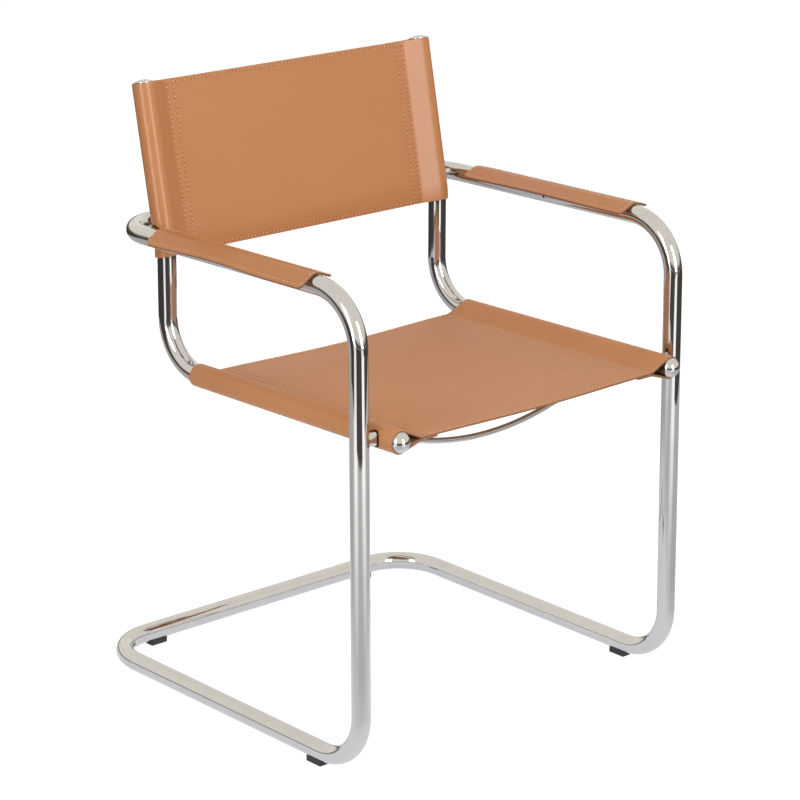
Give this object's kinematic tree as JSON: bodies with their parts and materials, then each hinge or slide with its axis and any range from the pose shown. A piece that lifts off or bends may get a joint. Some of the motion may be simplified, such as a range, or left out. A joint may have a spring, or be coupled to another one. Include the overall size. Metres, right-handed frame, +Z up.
{
  "type": "cantilever chair",
  "caption": "Cantilever armchair of bent chromed tube: a sled base rises into legs and arms, and inner tubes carry a leather sling seat and a leather sling back, with leather arm pads.",
  "frame": {"origin": "on the floor, under the centre of the outline's box", "axes": "+Z up, -Y to the front where the sitter faces, +X to the sitter's left"},
  "size_m": [0.6216, 0.5708, 0.8193],
  "materials": {
    "chromed_tube": "polished chrome plating",
    "sling_leather": "smooth tan saddle leather, satin, cut edges lighter, cream stitching",
    "lining_leather": "split leather, flesh side, matt",
    "black_plastic": "moulded, matt",
    "zinc_steel": "zinc-plated steel fasteners",
    "adhesive_tape": "thin double-sided tape"
  },
  "bodies": {
    "root": {"back_sling": "sling_leather", "frame_joint_screws": "zinc_steel", "frame_joint_sleeve": "zinc_steel", "front_bolts": "zinc_steel", "front_rivet_nuts": "zinc_steel", "front_spreader_rod": "chromed_tube", "front_washers": "zinc_steel", "glide_screws": "zinc_steel", "left_arm_pad_cover": "sling_leather", "left_arm_pad_lining": "lining_leather", "left_arm_pad_tape": "adhesive_tape", "left_front_glide": "black_plastic", "left_front_spacer": "chromed_tube", "left_post_top_cap": "chromed_tube", "left_rail_ball_cap": "chromed_tube", "left_rear_glide": "black_plastic", "left_rear_spacer": "chromed_tube", "left_seat_back_tube": "chromed_tube", "outer_frame": "chromed_tube", "rear_bolts": "zinc_steel", "rear_rivet_nuts": "zinc_steel", "rear_spreader_rod": "chromed_tube", "rear_washers": "zinc_steel", "right_arm_pad_cover": "sling_leather", "right_arm_pad_lining": "lining_leather", "right_arm_pad_tape": "adhesive_tape", "right_front_glide": "black_plastic", "right_front_spacer": "chromed_tube", "right_post_top_cap": "chromed_tube", "right_rail_ball_cap": "chromed_tube", "right_rear_glide": "black_plastic", "right_rear_spacer": "chromed_tube", "right_seat_back_tube": "chromed_tube", "seat_sling": "sling_leather"}
  },
  "joints": []
}
